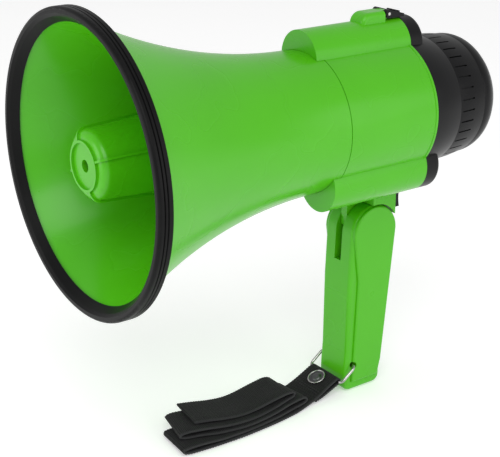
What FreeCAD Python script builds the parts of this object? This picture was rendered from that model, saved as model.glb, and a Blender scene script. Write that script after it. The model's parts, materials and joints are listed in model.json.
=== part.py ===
import FreeCAD, Part
import math
import os
import Sketcher

# Handheld megaphone with a folding pistol grip.
# Row frame: +Z up, horn along Y with its mouth towards -Y, origin at the middle of the grip's foot.
# Horn coordinates, used by most helpers: along = distance behind the mouth plane, and x and up are
# measured from the horn's axis.

doc = FreeCAD.newDocument("Megaphone")
sheet = doc.addObject("Spreadsheet::Sheet", "Dims")


class Size:
    """A number together with the spreadsheet expression that makes it."""

    def __init__(self, value, text):
        self.value = float(value)
        self.text = text

    def __add__(self, other):
        other = size(other)
        return Size(self.value + other.value, "(%s + %s)" % (self.text, other.text))

    def __sub__(self, other):
        other = size(other)
        return Size(self.value - other.value, "(%s - %s)" % (self.text, other.text))

    def __mul__(self, other):
        other = size(other)
        return Size(self.value * other.value, "(%s * %s)" % (self.text, other.text))

    def __truediv__(self, other):
        other = size(other)
        return Size(self.value / other.value, "(%s / %s)" % (self.text, other.text))

    def __radd__(self, other):
        return size(other) + self

    def __rsub__(self, other):
        return size(other) - self

    def __rmul__(self, other):
        return size(other) * self

    def __neg__(self):
        return Size(-self.value, "(-1 * %s)" % self.text)


def size(value):
    """A plain number as a Size; a Size stays as it is."""
    return value if isinstance(value, Size) else Size(value, "%r" % float(value))


def root(value):
    return Size(math.sqrt(value.value), "sqrt(%s)" % value.text)


def sine(degrees):
    degrees = size(degrees)
    return Size(math.sin(math.radians(degrees.value)), "sin(%s)" % degrees.text)


def cosine(degrees):
    degrees = size(degrees)
    return Size(math.cos(math.radians(degrees.value)), "cos(%s)" % degrees.text)


# ---------------------------------------------------------------- driving dimensions
DIMENSIONS = [
    # whole object
    ("foot_setback", 185.0, "mouth plane to the middle of the grip's foot, along the horn"),
    ("axis_height", 175.0, "foot to the horn's axis"),
    ("fit_gap", 0.1, "radial gap of a push fit inside one body"),
    ("pin_gap", 0.05, "radial gap of a turning fit"),
    ("move_gap", 0.4, "gap between pieces that move past each other"),
    # bell
    ("barrel_radius", 41.0, "outside of the bell's rear and of the housing's barrel"),
    ("lip_radius", 77.0, "outside of the bell's lip"),
    ("lip_setback", 3.0, "mouth plane to the bell's lip"),
    ("flare_end", 140.0, "where the flare becomes the straight barrel"),
    ("seam", 146.5, "where the bell meets the rear housing"),
    ("seam_chamfer", 0.5, "chamfer on the bell's rear edge, which shows as a line round the horn"),
    ("shell_wall", 2.2, "wall of the bell and of the housing"),
    ("floor_front", 112.0, "front of the bell's floor"),
    ("floor_wall", 3.0, "bell's floor"),
    # rim trim
    ("rim_wall", 3.0, "rim trim outside the bell's lip"),
    ("rim_depth", 7.6, "rim trim along the horn"),
    ("rim_land", 1.6, "flat land on the trim's front"),
    ("rim_lip", 0.8, "trim's leg inside the bell"),
    ("rim_groove", 0.6, "groove round the trim's outside"),
    # reflector cup and tone arm
    ("cup_front", 6.0, "mouth plane to the cup's front face"),
    ("cup_ring_radius", 13.3, "raised ring on the cup's face"),
    ("cup_ring_width", 1.3, "width of the ring"),
    ("cup_ring_rise", 1.4, "how far the ring stands up"),
    ("cup_radius", 18.6, "cup behind its rounded front"),
    ("cup_rear_radius", 21.6, "cup at its open rear"),
    ("cup_rear", 62.0, "cup's open rear"),
    ("cup_wall", 1.6, "cup's wall"),
    ("cup_fin", 1.2, "fin's height and thickness"),
    ("cup_boss_depth", 10.0, "screw boss inside the cup"),
    ("cup_boss_radius", 5.6, "outside of the screw boss"),
    ("cup_recess_radius", 3.3, "recess for the screw's head"),
    ("arm_throat", 7.0, "sound passage at the driver"),
    ("arm_mouth", 9.4, "sound passage at the tone arm's front"),
    ("arm_wall", 2.0, "tone arm's wall"),
    ("arm_front", 26.0, "front end of the tone arm"),
    ("arm_flange_wall", 2.5, "tone arm's flange"),
    ("arm_leg_length", 8.0, "spider legs along the horn"),
    ("arm_leg_wall", 1.6, "spider leg's thickness"),
    ("arm_post_radius", 4.0, "post that takes the reflector screw"),
    # driver
    ("driver_radius", 34.5, "driver's flange"),
    ("driver_screw_circle", 31.0, "radius of the screw circle"),
    ("driver_plate", 3.0, "driver's front plate"),
    ("driver_rim_radius", 27.5, "driver's rim"),
    ("driver_rim_depth", 6.0, "rim along the horn"),
    ("gasket_wall", 0.8, "driver's gasket"),
    ("coil_radius", 12.0, "voice coil"),
    ("coil_wall", 0.5, "voice coil's wall"),
    ("coil_slack", 0.7, "air either side of the voice coil"),
    ("top_plate_wall", 4.0, "magnet's front plate"),
    ("magnet_wall", 10.0, "ring magnet along the horn"),
    ("magnet_radius", 28.0, "ring magnet"),
    ("yoke_wall", 4.0, "yoke's back plate"),
    ("diaphragm_wall", 0.5, "diaphragm"),
    ("small_screw", 1.45, "M3 shank radius"),
    ("small_head", 2.5, "M3 head radius"),
    ("small_head_depth", 2.2, "M3 head along the screw"),
    # rear housing
    ("housing_end", 210.0, "rear edge of the housing"),
    ("spigot_depth", 5.5, "spigot inside the bell"),
    ("pod_front", 141.0, "front face of the battery pods"),
    ("pod_radius", 15.8, "outside of a pod"),
    ("pod_circle", 36.6, "horn's axis to a pod's axis"),
    ("pod_spread", 30.0, "lower pods, degrees either side of straight down"),
    ("pod_front_wall", 2.5, "front wall of a pod behind the seam"),
    ("cell_radius", 13.1, "C cell"),
    ("cell_length", 50.0, "C cell with its terminal"),
    ("cell_gap", 0.5, "cell's slack in its pod"),
    ("hump_front", 181.0, "front of the catch hump"),
    ("hump_rear", 198.0, "rear of the catch hump"),
    ("hump_top", 57.2, "top of the catch hump above the axis"),
    ("hump_half", 6.4, "half the hump's width"),
    ("tongue_half", 2.8, "half the width of the hump's tongue"),
    # latch
    ("latch_pin_along", 201.2, "latch pin"),
    ("latch_pin_up", 55.3, "latch pin above the axis"),
    ("latch_pin_radius", 0.9, "latch pin"),
    ("latch_barrel", 2.5, "latch round its pin"),
    ("latch_half", 6.2, "half the latch's width"),
    ("latch_end", 212.5, "latch's tail"),
    ("latch_tail", 1.7, "latch's thickness at its tail"),
    # rear cover
    ("cover_plate", 11.0, "cover's lobes along the horn"),
    ("cover_floor", 2.5, "floor behind the cells"),
    ("cover_end", 230.5, "rear edge of the cover"),
    ("cover_end_radius", 38.6, "cover at its rear edge"),
    ("shield_step", 0.6, "step from the cover to the mouth shield"),
    ("shield_end", 265.0, "end of the mouth shield"),
    ("shield_end_radius", 31.5, "mouth shield at its end"),
    ("shield_waist", 252.0, "where the shield starts to round in"),
    ("shield_waist_radius", 36.4, "mouth shield there"),
    ("shield_floor", 247.0, "front of the shield's floor"),
    ("shield_floor_wall", 2.2, "shield's floor"),
    ("shield_floor_radius", 24.0, "inside of the mouth at its floor"),
    ("shield_lip", 29.0, "inside of the mouth at its end"),
    # microphone and controls
    ("mic_up", 7.0, "microphone above the axis"),
    ("grille_radius", 10.0, "microphone grille"),
    ("grille_wall", 1.6, "microphone grille"),
    ("capsule_radius", 4.85, "microphone capsule"),
    ("capsule_depth", 5.0, "microphone capsule"),
    ("knob_offset", 12.0, "volume knob and mode switch from the middle"),
    ("knob_drop", 11.0, "volume knob and mode switch below the axis"),
    ("knob_radius", 6.2, "volume knob"),
    ("knob_depth", 8.0, "volume knob"),
    ("shaft_radius", 3.0, "volume control's shaft"),
    ("slider_half", 2.2, "half the mode switch's button"),
    ("slider_travel", 4.0, "mode switch's travel"),
    # neck and grip
    ("pivot_along", 190.5, "grip's pivot behind the mouth plane"),
    ("pivot_height", 102.0, "grip's pivot above the foot"),
    ("pivot_radius", 2.5, "pivot bolt"),
    ("disc_radius", 17.0, "round top of the grip"),
    ("web_half", 2.5, "half the neck's web"),
    ("web_front", 13.5, "web's front edge ahead of the pivot"),
    ("web_rear", 9.0, "web's rear edge and its boss"),
    ("block_half", 13.6, "half the neck's rear block"),
    ("block_front", 2.5, "block's front ahead of the pivot"),
    ("grip_half", 12.4, "half the grip's body"),
    ("grip_panel", 1.6, "raised side panel"),
    ("grip_wall", 2.2, "grip's wall"),
    ("toe_radius", 5.0, "rounding under the toe and the heel"),
    ("slot_drop", 17.5, "slot below the pivot"),
    ("strap_hole_up", 17.5, "strap hole above the foot"),
    ("strap_hole_fore", 8.5, "strap hole ahead of the foot's middle"),
    ("strap_hole_radius", 2.1, "strap hole"),
    # talk button
    ("talk_half", 9.3, "half the talk button's cap"),
    ("talk_top", 48.5, "cap's top below the axis"),
    ("talk_bottom", 62.0, "cap's bottom below the axis"),
    ("talk_cap", 4.2, "cap's thickness"),
    ("talk_travel", 2.5, "talk button's travel"),
    ("stem_half", 5.6, "half the stem's width"),
    ("stem_top", 49.6, "stem's top below the axis"),
    ("stem_bottom", 55.4, "stem's bottom below the axis"),
    # strap and its ring
    ("wire_radius", 0.9, "ring's wire"),
    ("ring_half", 15.4, "half the ring across the grip"),
    ("ring_reach", 11.0, "strap hole to the ring's crossbar"),
    ("ring_drop", 8.5, "crossbar below the strap hole"),
    ("strap_width", 25.0, "webbing's width"),
    ("strap_wall", 1.6, "webbing's thickness"),
]

for row, (alias, value, meaning) in enumerate(DIMENSIONS, start=1):
    sheet.set("A%d" % row, alias)
    sheet.set("B%d" % row, repr(value))
    sheet.set("C%d" % row, meaning)
    sheet.setAlias("B%d" % row, alias)
doc.recompute()


class Dimensions:
    """The sheet's cells as Sizes, by alias."""


d = Dimensions()
for alias, value, meaning in DIMENSIONS:
    setattr(d, alias, Size(sheet.get(alias), "Dims." + alias))


# ---------------------------------------------------------------- helpers
TURNS = {
    "X": FreeCAD.Rotation(FreeCAD.Vector(0, 1, 0), 90),
    "Y": FreeCAD.Rotation(FreeCAD.Vector(1, 0, 0), -90),
    "Z": FreeCAD.Rotation(),
}
NODES = []


def bind(thing, **sizes):
    """Set each property to its Size's value and tie it to the sheet."""
    for name, value in sizes.items():
        value = size(value)
        setattr(thing, name, value.value)
        thing.setExpression(name, value.text)


def place(thing, x, along, up, turn=None):
    """Put a piece at horn coordinates, tied to the sheet."""
    spot = [size(x), size(along) - d.foot_setback, size(up) + d.axis_height]
    turn = turn or FreeCAD.Rotation()
    thing.Placement = FreeCAD.Placement(FreeCAD.Vector(*[s.value for s in spot]), turn)
    for axis, s in zip("xyz", spot):
        thing.setExpression("Placement.Base." + axis, s.text)
    return thing


def box(name, x, along, up):
    """A box between two values along each direction."""
    piece = doc.addObject("Part::Box", name)
    low = [size(pair[0]) for pair in (x, along, up)]
    span = [size(pair[1]) - size(pair[0]) for pair in (x, along, up)]
    bind(piece, Length=span[0], Width=span[1], Height=span[2])
    return place(piece, *low)


def rod(name, axis, radius, length, x, along, up):
    """A cylinder that starts at a point and runs along +axis."""
    piece = doc.addObject("Part::Cylinder", name)
    bind(piece, Radius=radius, Height=length)
    return place(piece, x, along, up, TURNS[axis])


def body(name):
    return place(doc.addObject("PartDesign::Body", name), 0, 0, 0)


def outline(piece, name, plane, corners, arcs=()):
    """A sketch of one closed outline, each corner tied to the sheet.

    corners are (across, up) in the sketch's plane. arcs maps the number of a side, counted from its
    first corner, to that side's (centre, anticlockwise).
    """
    sketch = piece.newObject("Sketcher::SketchObject", name)
    role = [f for f in piece.Origin.OriginFeatures if f.Role == plane][0]
    sketch.AttachmentSupport = [(role, "")]
    sketch.MapMode = "FlatFace"
    arcs = dict(arcs)
    spots = [(size(a), size(b)) for a, b in corners]

    def pin(shape, end, spot):
        for kind, s in zip(("DistanceX", "DistanceY"), spot):
            number = sketch.addConstraint(Sketcher.Constraint(kind, -1, 1, shape, end, s.value))
            sketch.setExpression("Constraints[%d]" % number, s.text)

    ends = []
    for number, spot in enumerate(spots):
        after = spots[(number + 1) % len(spots)]
        first = FreeCAD.Vector(spot[0].value, spot[1].value, 0)
        last = FreeCAD.Vector(after[0].value, after[1].value, 0)
        if number in arcs:
            centre, forward = arcs[number]
            middle = FreeCAD.Vector(size(centre[0]).value, size(centre[1]).value, 0)
            circle = Part.Circle(middle, FreeCAD.Vector(0, 0, 1), (first - middle).Length)
            angles = [math.atan2((p - middle).y, (p - middle).x) for p in (first, last)]
            if not forward:
                angles.reverse()
            if angles[1] <= angles[0]:
                angles[1] += 2 * math.pi
            sketch.addGeometry(Part.ArcOfCircle(circle, *angles), False)
            ends.append((1, 2) if forward else (2, 1))
        else:
            sketch.addGeometry(Part.LineSegment(first, last), False)
            ends.append((1, 2))
    for number in range(len(spots)):
        after = (number + 1) % len(spots)
        sketch.addConstraint(
            Sketcher.Constraint("Coincident", number, ends[number][1], after, ends[after][0]))
    for number, spot in enumerate(spots):
        pin(number, ends[number][0], spot)
    for number, (centre, forward) in arcs.items():
        # Two ends and one coordinate of the centre fix an arc; the flatter one is pinned.
        spot = [size(c) for c in centre]
        chord = [spots[(number + 1) % len(spots)][k].value - spots[number][k].value for k in (0, 1)]
        upright = abs(chord[0]) < abs(chord[1])
        kind, s = ("DistanceX", spot[0]) if upright else ("DistanceY", spot[1])
        tie = sketch.addConstraint(Sketcher.Constraint(kind, -1, 1, number, 3, s.value))
        sketch.setExpression("Constraints[%d]" % tie, s.text)
    sketch.Visibility = False
    return sketch


def turned(name, corners, arcs=()):
    """A body turned about the horn's axis from an outline of (along, radius) corners."""
    piece = body(name)
    sketch = outline(piece, name + "_profile", "YZ_Plane", corners, arcs)
    turn = piece.newObject("PartDesign::Revolution", name + "_turn")
    turn.Profile = sketch
    turn.ReferenceAxis = (sketch, ["H_Axis"])
    turn.Angle = 360
    return piece


def tube(name, start, end, inner, outer):
    """A turned ring between two places along the horn."""
    return turned(name, [(start, inner), (start, outer), (end, outer), (end, inner)])


def slab(name, half, corners, arcs=()):
    """A body as wide as 2 x half across the horn, from an outline of (along, up) corners."""
    piece = body(name)
    sketch = outline(piece, name + "_side", "YZ_Plane", corners, arcs)
    pad = piece.newObject("PartDesign::Pad", name + "_pad")
    pad.Profile = sketch
    pad.Midplane = True
    bind(pad, Length=2 * size(half))
    return piece


def fuse(name, pieces):
    joined = doc.addObject("Part::MultiFuse", name)
    joined.Shapes = pieces
    joined.Refine = True
    return joined


def cut(name, base, tools):
    """base less every tool."""
    piece = doc.addObject("Part::Cut", name)
    piece.Base = base
    piece.Tool = tools[0] if len(tools) == 1 else fuse(name + "_tools", tools)
    piece.Refine = True
    return piece


def common(name, pieces):
    piece = doc.addObject("Part::MultiCommon", name)
    piece.Shapes = pieces
    return piece


def group(name, pieces):
    """Separate solids that share one node."""
    piece = doc.addObject("Part::Compound", name)
    piece.Links = pieces
    return piece


def rounded(name, base, radius, chosen):
    """Round the edges of a body that a test picks out."""
    doc.recompute()
    tip = base.Tip
    edges = [i for i, e in enumerate(tip.Shape.Edges, start=1) if chosen(e)]
    fillet = base.newObject("PartDesign::Fillet", name)
    fillet.Base = (tip, ["Edge%d" % i for i in edges])
    bind(fillet, Radius=radius)
    return base


def node(label, piece):
    """Hand a finished piece in under its own name."""
    piece.Label = label
    NODES.append((label, piece))
    return piece


def ring_of(count, radius, first=90.0):
    """(x, up) places evenly round the horn's axis, tied to the sheet."""
    angles = [first + 360.0 * k / count for k in range(count)]
    return [(size(radius) * cosine(a), size(radius) * sine(a)) for a in angles]


def coil(name, radius, wire, start, end, turns, x, up):
    """A round-wire compression spring between two places along the horn, with its wire on a helix."""
    length = (end - start - 2 * wire).value
    helix = Part.makeHelix(length / turns, length, radius.value)
    circle = Part.Circle(FreeCAD.Vector(radius.value, 0, 0), FreeCAD.Vector(0, 1, 0), wire.value)
    sweep = Part.BRepOffsetAPI.MakePipeShell(Part.Wire(helix.Edges))
    sweep.setFrenetMode(True)
    sweep.add(Part.Wire([circle.toShape()]))
    sweep.build()
    sweep.makeSolid()
    piece = doc.addObject("Part::Feature", name)
    piece.Shape = sweep.shape()
    return place(piece, x, start + wire, up, TURNS["Y"])


def bow(start, end, sag):
    """Centre and sense of an arc between two corners, bulging left of the way by sag."""
    (x0, y0), (x1, y1) = [(size(a), size(b)) for a, b in (start, end)]
    chord = root((x1 - x0) * (x1 - x0) + (y1 - y0) * (y1 - y0))
    depth = size(abs(sag))
    side = 1 if sag > 0 else -1
    reach = (chord * chord / 4 - depth * depth) / (2 * depth) * side / chord
    centre = ((x0 + x1) / 2 + (y1 - y0) * reach, (y0 + y1) / 2 - (x1 - x0) * reach)
    return centre, sag < 0


def spun(name, count, half, corners, arcs=()):
    """A slab in the plane above the horn's axis, repeated evenly round the axis."""
    piece = slab(name, half, corners, arcs)
    pattern = piece.newObject("PartDesign::PolarPattern", name + "_round")
    pattern.Originals = [piece.Tip]
    pattern.Axis = ([f for f in piece.Origin.OriginFeatures if f.Role == "Y_Axis"][0], [""])
    pattern.Angle = 360
    pattern.Occurrences = count
    piece.Tip = pattern
    return piece


def rods(name, places, radius, start, end):
    """Parallel cylinders along the horn at several (x, up) places."""
    return [rod("%s_%d" % (name, k), "Y", radius, end - start, x, start, up)
            for k, (x, up) in enumerate(places, start=1)]


def turned_at(name, place_at, corners, arcs=()):
    """A turned body about an axis parallel to the horn's."""
    piece = turned(name, corners, arcs)
    return place(piece, place_at[0], 0, place_at[1])


# ---------------------------------------------------------------- places shared by several pieces
PODS = [(d.pod_circle * cosine(a), d.pod_circle * sine(a))
        for a in (size(90), d.pod_spread - 90, -d.pod_spread - 90)]
DRIVER_SCREWS = ring_of(3, d.driver_screw_circle, 90)

rise = d.lip_radius - d.barrel_radius
run = d.flare_end - d.lip_setback
flare = (run * run + rise * rise) / (2 * rise)
flare_centre = (d.flare_end, d.barrel_radius + flare)


def flare_at(along, inset):
    """Radius of the bell's outer flare, set inward."""
    reach = flare + inset
    back = d.flare_end - along
    return flare_centre[1] - root(reach * reach - back * back)


inner_lip = d.flare_end - run * (flare + d.shell_wall) / flare
floor_rear = d.floor_front + d.floor_wall
flange_rear = floor_rear + d.arm_flange_wall
plate_front = flange_rear + d.gasket_wall
plate_rear = plate_front + d.driver_plate
rim_rear = plate_rear + d.driver_rim_depth
magnet_front = rim_rear + d.top_plate_wall
yoke_front = magnet_front + d.magnet_wall
arm_radius = d.arm_mouth + d.arm_wall
boss_end = d.cup_front + d.cup_boss_depth
barrel_bore = d.barrel_radius - d.shell_wall
rim_radius = d.lip_radius + d.rim_wall
pod_bore = d.cell_radius + d.cell_gap
pod_floor = d.seam + d.pod_front_wall
contact_wall = size(0.5)
cell_end = d.housing_end - 2
cell_start = cell_end - d.cell_length
cover_start = d.housing_end + d.fit_gap
lobe_end = d.housing_end + d.cover_plate
lobe_floor = lobe_end - d.cover_floor
pivot_up = d.pivot_height - d.axis_height
foot_up = -d.axis_height


# ---------------------------------------------------------------- bell
def horn_bell():
    wall = turned("bell_wall", [
        (d.lip_setback, d.lip_radius),
        (d.flare_end, d.barrel_radius),
        (d.seam - d.seam_chamfer, d.barrel_radius),
        (d.seam, d.barrel_radius - d.seam_chamfer),
        (d.seam, barrel_bore),
        (floor_rear, barrel_bore),
        (floor_rear, arm_radius + d.fit_gap),
        (d.floor_front, arm_radius + d.fit_gap),
        (d.floor_front, flare_at(d.floor_front, d.shell_wall)),
        (inner_lip, flare_at(inner_lip, d.shell_wall)),
    ], {0: (flare_centre, True), 8: (flare_centre, False)})
    holes = rods("bell_hole", DRIVER_SCREWS, d.small_screw, d.floor_front + 1, floor_rear + 1)
    node("horn_bell", cut("bell", wall, holes))


def rim_trim():
    turn = size(1.8)
    inner_turn = size(1.6)
    land_out = rim_radius - turn
    land_in = land_out - d.rim_land
    corner = land_in - inner_turn * 0.98
    leg_end = d.rim_depth - 2
    channel = d.lip_setback - d.fit_gap
    leg_start = inner_lip - d.fit_gap
    outside = [(0, land_in), (0, land_out), (turn, rim_radius)]
    for along in (2.8, 4.7):
        outside += [(along, rim_radius), (along + 0.4, rim_radius - d.rim_groove),
                    (along + 0.8, rim_radius)]
    inside = [
        (d.rim_depth, rim_radius),
        (d.rim_depth, flare_at(d.rim_depth, -d.fit_gap)),
        (channel, flare_at(channel, -d.fit_gap)),
        (leg_start, flare_at(leg_start, d.shell_wall + d.fit_gap)),
        (leg_end, flare_at(leg_end, d.shell_wall + d.fit_gap)),
        (leg_end, flare_at(leg_end, d.shell_wall + d.fit_gap + d.rim_lip)),
        (inner_turn * 0.8, corner),
    ]
    count = len(outside)
    centre_in = (inner_turn, land_in)
    node("rim_trim", turned("trim", outside + inside, {
        1: ((turn, land_out), False),
        count + 1: (flare_centre, False),
        count + 3: (flare_centre, True),
    }))


def reflector_cup():
    bend = size(5.0)
    centre = (d.cup_front + bend, d.cup_radius - bend)
    ring_in = d.cup_ring_radius - d.cup_ring_width
    ring_out = d.cup_ring_radius
    above = ring_out - centre[1]
    shoulder = centre[0] - root(bend * bend - above * above)
    seat = boss_end - 3
    shell = turned("cup_shell", [
        (d.cup_front, d.cup_recess_radius),
        (d.cup_front, ring_in),
        (d.cup_front - d.cup_ring_rise, ring_in),
        (d.cup_front - d.cup_ring_rise, ring_out),
        (shoulder, ring_out),
        (centre[0], d.cup_radius),
        (d.cup_rear, d.cup_rear_radius),
        (d.cup_rear, d.cup_rear_radius - d.cup_wall),
        (centre[0], d.cup_radius - d.cup_wall),
        (d.cup_front + d.cup_wall, centre[1]),
        (d.cup_front + d.cup_wall, d.cup_boss_radius),
        (boss_end, d.cup_boss_radius),
        (boss_end, d.small_screw + d.fit_gap),
        (seat, d.small_screw + d.fit_gap),
        (seat, d.cup_recess_radius),
    ], {4: (centre, False), 8: (centre, True)})
    fin_bend = bend + d.cup_fin
    start = ring_out - 0.2
    rise_there = start - centre[1]
    root_depth = size(0.8)
    fins = spun("cup_fins", 4, d.cup_fin / 2, [
        (centre[0] - root(fin_bend * fin_bend - rise_there * rise_there), start),
        (centre[0], d.cup_radius + d.cup_fin),
        (d.cup_rear, d.cup_rear_radius + d.cup_fin),
        (d.cup_rear, d.cup_rear_radius - root_depth),
        (centre[0], d.cup_radius - root_depth),
        (d.cup_front + 1, start),
    ], {0: (centre, False)})
    place(fins, 0, 0, 0, FreeCAD.Rotation(FreeCAD.Vector(0, 1, 0), -23))
    node("reflector_cup", fuse("cup", [shell, fins]))
    shank = rod("cup_screw_shank", "Y", d.small_screw, d.arm_front - seat + 4, 0, seat, 0)
    head = rod("cup_screw_head", "Y", d.small_head, d.small_head_depth, 0, seat - d.small_head_depth, 0)
    slot = box("cup_screw_slot", (-0.4, 0.4), (seat - d.small_head_depth - 1, seat - 1.4), (-3, 3))
    node("reflector_screw", cut("cup_screw", fuse("cup_screw_blank", [shank, head]), [slot]))


def tone_arm():
    wall = turned("arm_wall_turned", [
        (d.arm_front, d.arm_mouth),
        (d.arm_front, arm_radius),
        (floor_rear, arm_radius),
        (floor_rear, d.driver_radius),
        (flange_rear, d.driver_radius),
        (flange_rear, d.arm_throat),
    ])
    leg_start = d.arm_front + 1
    legs = spun("arm_legs", 3, d.arm_leg_wall / 2, [
        (leg_start, 0),
        (leg_start, d.arm_mouth + 0.6),
        (leg_start + d.arm_leg_length, d.arm_mouth + 0.6),
        (leg_start + d.arm_leg_length, 0),
    ])
    post_end = leg_start + d.arm_leg_length + 1
    post = rod("arm_post", "Y", d.arm_post_radius, post_end - boss_end, 0, boss_end, 0)
    bore = rod("arm_bore", "Y", d.small_screw + d.pin_gap, post_end - boss_end - 2, 0, boss_end, 0)
    holes = rods("arm_hole", DRIVER_SCREWS, d.small_screw + d.pin_gap, floor_rear - 1, flange_rear + 1)
    node("tone_arm", cut("arm", fuse("arm_blank", [wall, legs, post]), [bore] + holes))


# ---------------------------------------------------------------- driver
def driver():
    hole = d.small_screw + d.pin_gap
    gasket = tube("gasket_ring", flange_rear, plate_front, d.arm_throat + 1, d.driver_radius)
    node("driver_gasket", cut("gasket", gasket, rods(
        "gasket_hole", DRIVER_SCREWS, hole, flange_rear - 1, plate_front + 1)))
    chamber = plate_rear + 0.5
    rim_bore = d.driver_rim_radius - 2.5
    frame = turned("frame_turned", [
        (plate_front, d.arm_throat),
        (plate_front, d.driver_radius),
        (plate_rear, d.driver_radius),
        (plate_rear, d.driver_rim_radius),
        (rim_rear, d.driver_rim_radius),
        (rim_rear, rim_bore),
        (chamber, rim_bore),
        (chamber, d.arm_throat),
    ])
    node("driver_frame", cut("frame", frame, rods(
        "frame_hole", DRIVER_SCREWS, hole, plate_front - 1, plate_rear + 1)))
    coil_out = d.coil_radius + d.coil_wall
    dome = size(3.2)
    sphere = (d.coil_radius * d.coil_radius + dome * dome) / (2 * dome)
    front = rim_rear - d.diaphragm_wall
    node("driver_diaphragm", turned("diaphragm", [
        (front - dome, 0),
        (front, d.coil_radius),
        (front, rim_bore - 0.2),
        (rim_rear, rim_bore - 0.2),
        (rim_rear, d.coil_radius),
        (rim_rear - dome, 0),
    ], {0: ((front - dome + sphere, 0), False), 4: ((rim_rear - dome + sphere, 0), True)}))
    node("voice_coil", tube("coil_tube", rim_rear, magnet_front + 1, d.coil_radius, coil_out))
    node("driver_top_plate", tube(
        "top_plate", rim_rear, magnet_front, coil_out + d.coil_slack, d.driver_rim_radius))
    node("driver_magnet", tube("magnet", magnet_front, yoke_front, coil_out + 3, d.magnet_radius))
    pole = d.coil_radius - d.coil_slack
    node("driver_yoke", turned("yoke", [
        (rim_rear + 0.6, 0),
        (rim_rear + 0.6, pole),
        (yoke_front, pole),
        (yoke_front, d.magnet_radius - 1),
        (yoke_front + d.yoke_wall, d.magnet_radius - 1),
        (yoke_front + d.yoke_wall, 0),
    ]))
    node("driver_screws", screws("driver_screw", DRIVER_SCREWS, d.floor_front + 1, plate_rear))


def screws(name, places, tip, seat):
    """Cylinder-headed screws along the horn, their heads behind their seat, as one node."""
    made = []
    for k, (shank, head) in enumerate(zip(
            rods(name + "_shank", places, d.small_screw, tip, seat),
            rods(name + "_head", places, d.small_head, seat, seat + d.small_head_depth)), start=1):
        made.append(fuse("%s_%d" % (name, k), [shank, head]))
    return group(name + "s", made)


# ---------------------------------------------------------------- rear housing
LEDGE_FRONT = pod_floor + 2
LEDGE_END = LEDGE_FRONT + 48
BOARD_HALF = size(35.5)
BOARD_WALL = size(1.6)


def rear_housing():
    barrel = rod("barrel", "Y", d.barrel_radius, d.housing_end - d.seam, 0, d.seam, 0)
    spigot_start = d.seam - d.spigot_depth
    spigot_radius = barrel_bore - d.fit_gap
    spigot = rod("spigot", "Y", spigot_radius, d.spigot_depth, 0, spigot_start, 0)
    bead = turned("edge_bead", [
        (d.housing_end - 2.2, d.barrel_radius - 0.5),
        (d.housing_end - 1.8, d.barrel_radius + 0.4),
        (d.housing_end - 0.4, d.barrel_radius + 0.4),
        (d.housing_end, d.barrel_radius),
        (d.housing_end, d.barrel_radius - 0.5),
    ])
    pods = cut("pods_trimmed", fuse("pods", rods("pod", PODS, d.pod_radius, d.pod_front, d.housing_end)), [
        rod("bell_room", "Y", d.barrel_radius + d.fit_gap, d.seam - d.pod_front + 1,
            0, d.pod_front - 1, 0)])
    base = d.hump_top - 6.6
    hump = slab("hump", d.hump_half, [
        (d.hump_front, base),
        (d.hump_front + 6.6, d.hump_top),
        (d.hump_rear, d.hump_top),
        (d.hump_rear, base),
    ], {0: ((d.hump_front + 6.6, base), False)})
    side = d.hump_half.value - 0.01
    rounded("hump_round", hump, 2.6, lambda e: abs(e.BoundBox.Center.x) > side
            and e.BoundBox.ZMax > base.value + 6 and e.BoundBox.ZMin > base.value - 1
            and e.BoundBox.YLength > 1)
    pin = (d.latch_pin_along, d.latch_pin_up)
    tongue_round = d.hump_top - d.latch_pin_up
    tongue = slab("tongue", d.tongue_half, [
        (d.hump_rear - 1, base),
        (d.hump_rear - 1, d.hump_top),
        (pin[0], d.hump_top),
        (pin[0] + tongue_round, pin[1]),
        (pin[0] + tongue_round, base),
    ], {2: (pin, False)})
    ledges = []
    for name, inner, outer in (("ledge_near", 31.5, 36.5), ("ledge_far", -36.5, -31.5)):
        low, high = size(inner), size(outer)
        block = box(name + "_block", (low - 3, high + 3), (LEDGE_FRONT, LEDGE_END), (-3, 0))
        edge = box(name + "_edge", (low, high + 3) if inner > 0 else (low - 3, high),
                   (LEDGE_FRONT - 1, LEDGE_END + 1), (-4, 1))
        ledges.append(common(name, [block, edge, rod(
            name + "_round", "Y", d.barrel_radius - 1, LEDGE_END - LEDGE_FRONT, 0, LEDGE_FRONT, 0)]))
    outer = fuse("housing_outer", [barrel, spigot, bead, pods, hump, tongue])
    room = cut("barrel_room", fuse("barrel_bores", [
        rod("barrel_bore", "Y", barrel_bore, d.housing_end - d.seam + 1, 0, d.seam, 0),
        rod("spigot_bore", "Y", spigot_radius - d.shell_wall, d.spigot_depth + 2, 0, spigot_start - 1, 0),
    ]), rods("pod_core", PODS, d.pod_radius, d.seam, d.housing_end + 2))
    bores = rods("pod_bore", PODS, pod_bore, pod_floor, d.housing_end + 1)
    pin_hole = rod("tongue_hole", "X", d.latch_pin_radius + d.pin_gap, 2 * d.hump_half,
                   -d.hump_half, pin[0], pin[1])
    neck_holes = [rod("neck_hole_%d" % k, "Z", d.small_screw + d.pin_gap, 6, 0, along,
                      -d.barrel_radius - 2) for k, along in enumerate(NECK_SCREWS)]
    hollow = cut("housing_hollow", outer, [room, pin_hole] + bores + neck_holes)
    board_holes = [rod("ledge_hole_%d" % k, "Z", 0.8, 4, x, LEDGE_FRONT + 6, -3.5)
                   for k, x in enumerate(BOARD_SCREWS)]
    node("rear_housing", cut("housing", fuse("housing_ledges", [hollow] + ledges), board_holes))


NECK_SCREWS = (d.pivot_along - 8, d.pivot_along + 5)
BOARD_SCREWS = (size(33.0), size(-33.0))


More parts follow.
